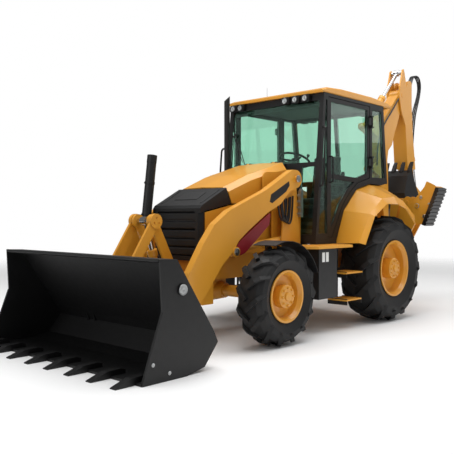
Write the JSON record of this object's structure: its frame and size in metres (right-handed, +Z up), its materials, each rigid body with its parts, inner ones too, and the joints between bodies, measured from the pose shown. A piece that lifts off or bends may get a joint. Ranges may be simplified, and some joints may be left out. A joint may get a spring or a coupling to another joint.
{
  "type": "backhoe loader",
  "caption": "backhoe loader with a wide toothed front bucket on curved lift arms, a glazed cab, and a folded digging arm with raised stabilizers behind",
  "frame": {"origin": "on the ground, under the middle of the whole machine's length and width", "axes": "+X points forward, +Y to the machine's left, +Z up"},
  "size_m": [7.086, 2.464, 3.6123],
  "materials": {
    "yellow_paint": "gloss enamel",
    "red_paint": "gloss enamel",
    "black_paint": "satin enamel",
    "grey_plastic": "matt moulded",
    "clear_glass": "clear, slightly green",
    "tyre_rubber": "matt rubber",
    "chrome_rod": "polished"
  },
  "bodies": {
    "chassis": {"main_frame": "black_paint", "front_axle": "black_paint", "rear_axle": "black_paint", "engine": "black_paint", "nose_grille": "black_paint", "side_panels": "yellow_paint", "exhaust_stacks": "black_paint", "cab_frame": "black_paint", "cab_roof": "yellow_paint", "cab_glass": "clear_glass", "cab_trim": "black_paint", "rear_fenders": "yellow_paint", "side_steps": "yellow_paint", "seat": "grey_plastic", "controls": "grey_plastic", "backhoe_frame": "yellow_paint"},
    "hood": {"hood": "yellow_paint"},
    "door_left": {"door_left": "black_paint", "door_glass_left": "clear_glass"},
    "knuckle_left": {"knuckle_left": "black_paint"},
    "wheel_front_left": {"tyre_front_left": "tyre_rubber", "rim_front_left": "yellow_paint"},
    "wheel_rear_left": {"tyre_rear_left": "tyre_rubber", "rim_rear_left": "yellow_paint"},
    "stabilizer_leg_left": {"stabilizer_leg_left": "yellow_paint"},
    "stabilizer_foot_left": {"stabilizer_foot_left": "black_paint"},
    "stabilizer_barrel_left": {"stabilizer_barrel_left": "black_paint"},
    "stabilizer_rod_left": {"stabilizer_rod_left": "chrome_rod"},
    "door_right": {"door_right": "black_paint", "door_glass_right": "clear_glass"},
    "knuckle_right": {"knuckle_right": "black_paint"},
    "wheel_front_right": {"tyre_front_right": "tyre_rubber", "rim_front_right": "yellow_paint"},
    "wheel_rear_right": {"tyre_rear_right": "tyre_rubber", "rim_rear_right": "yellow_paint"},
    "stabilizer_leg_right": {"stabilizer_leg_right": "yellow_paint"},
    "stabilizer_foot_right": {"stabilizer_foot_right": "black_paint"},
    "stabilizer_barrel_right": {"stabilizer_barrel_right": "black_paint"},
    "stabilizer_rod_right": {"stabilizer_rod_right": "chrome_rod"},
    "loader_arms": {"loader_arms": "yellow_paint", "lift_brace": "red_paint"},
    "loader_bucket": {"loader_bucket": "black_paint"},
    "tilt_levers": {"tilt_levers": "yellow_paint"},
    "tilt_links": {"tilt_links": "black_paint"},
    "tilt_barrel": {"tilt_barrel": "black_paint"},
    "tilt_rod": {"tilt_rod": "chrome_rod"},
    "lift_barrels": {"lift_barrels": "black_paint"},
    "lift_rods": {"lift_rods": "chrome_rod"},
    "swing_frame": {"swing_frame": "yellow_paint"},
    "boom": {"boom": "yellow_paint"},
    "boom_barrel": {"boom_barrel": "black_paint"},
    "boom_rod": {"boom_rod": "chrome_rod"},
    "stick": {"stick": "yellow_paint"},
    "stick_barrel": {"stick_barrel": "black_paint"},
    "stick_rod": {"stick_rod": "chrome_rod"},
    "hoe_bucket": {"hoe_bucket": "yellow_paint"},
    "guide_link": {"guide_link": "yellow_paint"},
    "tie_link": {"tie_link": "yellow_paint"},
    "curl_barrel": {"curl_barrel": "black_paint"},
    "curl_rod": {"curl_rod": "chrome_rod"}
  },
  "joints": [
    {"name": "hood_hinge", "type": "hinge", "parent": "chassis", "child": "hood", "pos_m": [0.511, 0, 1.928], "axis": [0, 1, 0], "range_deg": [-48, 0]},
    {"name": "door_left_hinge", "type": "hinge", "parent": "chassis", "child": "door_left", "pos_m": [-0.777, 0.752, 2.2], "axis": [0, 0, 1], "range_deg": [0, 75]},
    {"name": "steer_left", "type": "hinge", "parent": "chassis", "child": "knuckle_left", "pos_m": [1.383, 0.71, 0.5], "axis": [0, 0, 1], "range_deg": [-33, 33]},
    {"name": "wheel_front_left_spin", "type": "hinge", "parent": "knuckle_left", "child": "wheel_front_left", "pos_m": [1.383, 0.94, 0.5], "axis": [0, 1, 0], "continuous": true},
    {"name": "wheel_rear_left_spin", "type": "hinge", "parent": "chassis", "child": "wheel_rear_left", "pos_m": [-0.817, 0.864, 0.655], "axis": [0, 1, 0], "continuous": true},
    {"name": "door_right_hinge", "type": "hinge", "parent": "chassis", "child": "door_right", "pos_m": [-0.777, -0.752, 2.2], "axis": [0, 0, -1], "range_deg": [0, 75]},
    {"name": "steer_right", "type": "hinge", "parent": "chassis", "child": "knuckle_right", "pos_m": [1.383, -0.71, 0.5], "axis": [0, 0, 1], "range_deg": [-33, 33]},
    {"name": "wheel_front_right_spin", "type": "hinge", "parent": "knuckle_right", "child": "wheel_front_right", "pos_m": [1.383, -0.94, 0.5], "axis": [0, 1, 0], "continuous": true},
    {"name": "wheel_rear_right_spin", "type": "hinge", "parent": "chassis", "child": "wheel_rear_right", "pos_m": [-0.817, -0.864, 0.655], "axis": [0, 1, 0], "continuous": true},
    {"name": "loader_lift", "type": "hinge", "parent": "chassis", "child": "loader_arms", "pos_m": [0.633, 0, 1.72], "axis": [0, -1, 0], "range_deg": [0, 88]},
    {"name": "loader_bucket_tilt", "type": "hinge", "parent": "loader_arms", "child": "loader_bucket", "pos_m": [2.433, 0, 0.275], "axis": [0, 1, 0], "range_deg": [-32, 132]},
    {"name": "lift_barrels_swing", "type": "hinge", "parent": "chassis", "child": "lift_barrels", "pos_m": [0.633, 0, 1.05], "axis": [0, -1, 0], "range_deg": [-1, 75]},
    {"name": "lift_rods_slide", "type": "slide", "parent": "lift_barrels", "child": "lift_rods", "axis": [0.9938, 0, -0.1108], "range_m": [-0.01, 0.9]},
    {"name": "tilt_levers_swing", "type": "hinge", "parent": "loader_arms", "child": "tilt_levers", "pos_m": [2.023, 0, 0.68], "axis": [0, 1, 0], "range_deg": [-30, 93]},
    {"name": "tilt_links_swing", "type": "hinge", "parent": "loader_bucket", "child": "tilt_links", "pos_m": [2.664, 0, 0.72], "axis": [0, 1, 0], "range_deg": [-112, 35]},
    {"name": "tilt_barrel_swing", "type": "hinge", "parent": "loader_arms", "child": "tilt_barrel", "pos_m": [2.088, 0, 0.5], "axis": [0, 1, 0], "range_deg": [-27, 84]},
    {"name": "tilt_rod_slide", "type": "slide", "parent": "tilt_barrel", "child": "tilt_rod", "axis": [0.2873, 0, 0.9578], "range_m": [-0.26, 0.09]},
    {"name": "swing", "type": "hinge", "parent": "chassis", "child": "swing_frame", "pos_m": [-2.237, 0, 0.75], "axis": [0, 0, 1], "range_deg": [-90, 90]},
    {"name": "boom_lift", "type": "hinge", "parent": "swing_frame", "child": "boom", "pos_m": [-2.417, 0, 1], "axis": [0, -1, 0], "range_deg": [0, 120]},
    {"name": "boom_barrel_swing", "type": "hinge", "parent": "swing_frame", "child": "boom_barrel", "pos_m": [-2.167, 0, 1.215], "axis": [0, -1, 0], "range_deg": [-1, 125]},
    {"name": "boom_rod_slide", "type": "slide", "parent": "boom_barrel", "child": "boom_rod", "axis": [0.1674, 0, 0.9859], "range_m": [-0.01, 0.6]},
    {"name": "stick_curl", "type": "hinge", "parent": "boom", "child": "stick", "pos_m": [-2.807, 0, 3.2], "axis": [0, 1, 0], "range_deg": [0, 108]},
    {"name": "stick_barrel_swing", "type": "hinge", "parent": "boom", "child": "stick_barrel", "pos_m": [-1.877, 0, 2.62], "axis": [0, 1, 0], "range_deg": [-2, 5]},
    {"name": "stick_rod_slide", "type": "slide", "parent": "stick_barrel", "child": "stick_rod", "axis": [-0.7145, 0, 0.6996], "range_m": [-0.6, 0.01]},
    {"name": "hoe_bucket_curl", "type": "hinge", "parent": "stick", "child": "hoe_bucket", "pos_m": [-3.287, 0, 1.45], "axis": [0, 1, 0], "range_deg": [0, 170]},
    {"name": "guide_link_swing", "type": "hinge", "parent": "stick", "child": "guide_link", "pos_m": [-3.202, 0, 1.8], "axis": [0, 1, 0], "range_deg": [-1, 101]},
    {"name": "tie_link_swing", "type": "hinge", "parent": "hoe_bucket", "child": "tie_link", "pos_m": [-3.268, 0, 1.231], "axis": [0, 1, 0], "range_deg": [-142, 1]},
    {"name": "curl_barrel_swing", "type": "hinge", "parent": "stick", "child": "curl_barrel", "pos_m": [-3.057, 0, 3.4], "axis": [0, 1, 0], "range_deg": [-2, 2]},
    {"name": "curl_rod_slide", "type": "slide", "parent": "curl_barrel", "child": "curl_rod", "axis": [-0.2412, 0, -0.9705], "range_m": [-0.53, 0.01]},
    {"name": "stabilizer_left_swing", "type": "hinge", "parent": "chassis", "child": "stabilizer_leg_left", "pos_m": [-1.831, 0.42, 0.56], "axis": [1, 0, 0], "range_deg": [-80, 0]},
    {"name": "stabilizer_foot_left_tilt", "type": "hinge", "parent": "stabilizer_leg_left", "child": "stabilizer_foot_left", "pos_m": [-1.831, 0.905, 1.445], "axis": [1, 0, 0], "range_deg": [-1, 12]},
    {"name": "stabilizer_barrel_left_swing", "type": "hinge", "parent": "chassis", "child": "stabilizer_barrel_left", "pos_m": [-1.831, 0.56, 1.5], "axis": [1, 0, 0], "range_deg": [-1, 12]},
    {"name": "stabilizer_rod_left_slide", "type": "slide", "parent": "stabilizer_barrel_left", "child": "stabilizer_rod_left", "axis": [0, 0.0062, -1], "range_m": [-0.01, 0.37]},
    {"name": "stabilizer_right_swing", "type": "hinge", "parent": "chassis", "child": "stabilizer_leg_right", "pos_m": [-1.831, -0.42, 0.56], "axis": [-1, 0, 0], "range_deg": [-80, 0]},
    {"name": "stabilizer_foot_right_tilt", "type": "hinge", "parent": "stabilizer_leg_right", "child": "stabilizer_foot_right", "pos_m": [-1.831, -0.905, 1.445], "axis": [-1, 0, 0], "range_deg": [-1, 12]},
    {"name": "stabilizer_barrel_right_swing", "type": "hinge", "parent": "chassis", "child": "stabilizer_barrel_right", "pos_m": [-1.831, -0.56, 1.5], "axis": [-1, 0, 0], "range_deg": [-1, 12]},
    {"name": "stabilizer_rod_right_slide", "type": "slide", "parent": "stabilizer_barrel_right", "child": "stabilizer_rod_right", "axis": [0, -0.0062, -1], "range_m": [-0.01, 0.37]}
  ],
  "couplings": [
    {"joint": "steer_right", "follows": "steer_left", "ratio": 1},
    {"joint": "lift_barrels_swing", "follows": "loader_lift", "ratio": 0.8203},
    {"joint": "lift_rods_slide", "follows": "loader_lift", "m_per_rad": 0.5732},
    {"joint": "tilt_levers_swing", "follows": "loader_bucket_tilt", "ratio": 0.687},
    {"joint": "tilt_links_swing", "follows": "loader_bucket_tilt", "ratio": -0.826},
    {"joint": "tilt_barrel_swing", "follows": "loader_bucket_tilt", "ratio": 0.6137},
    {"joint": "tilt_rod_slide", "follows": "loader_bucket_tilt", "m_per_rad": -0.1053},
    {"joint": "boom_barrel_swing", "follows": "boom_lift", "ratio": 1.0061},
    {"joint": "boom_rod_slide", "follows": "boom_lift", "m_per_rad": 0.27452},
    {"joint": "stick_barrel_swing", "follows": "stick_curl", "ratio": 0.0325},
    {"joint": "stick_rod_slide", "follows": "stick_curl", "m_per_rad": -0.31084},
    {"joint": "guide_link_swing", "follows": "hoe_bucket_curl", "ratio": 0.552},
    {"joint": "tie_link_swing", "follows": "hoe_bucket_curl", "ratio": -0.782},
    {"joint": "curl_barrel_swing", "follows": "hoe_bucket_curl", "ratio": 0.0023},
    {"joint": "curl_rod_slide", "follows": "hoe_bucket_curl", "m_per_rad": -0.1636},
    {"joint": "stabilizer_foot_left_tilt", "follows": "stabilizer_left_swing", "ratio": -0.141},
    {"joint": "stabilizer_barrel_left_swing", "follows": "stabilizer_left_swing", "ratio": -0.1333},
    {"joint": "stabilizer_rod_left_slide", "follows": "stabilizer_left_swing", "m_per_rad": -0.2499},
    {"joint": "stabilizer_foot_right_tilt", "follows": "stabilizer_right_swing", "ratio": -0.141},
    {"joint": "stabilizer_barrel_right_swing", "follows": "stabilizer_right_swing", "ratio": -0.1333},
    {"joint": "stabilizer_rod_right_slide", "follows": "stabilizer_right_swing", "m_per_rad": -0.2499}
  ]
}
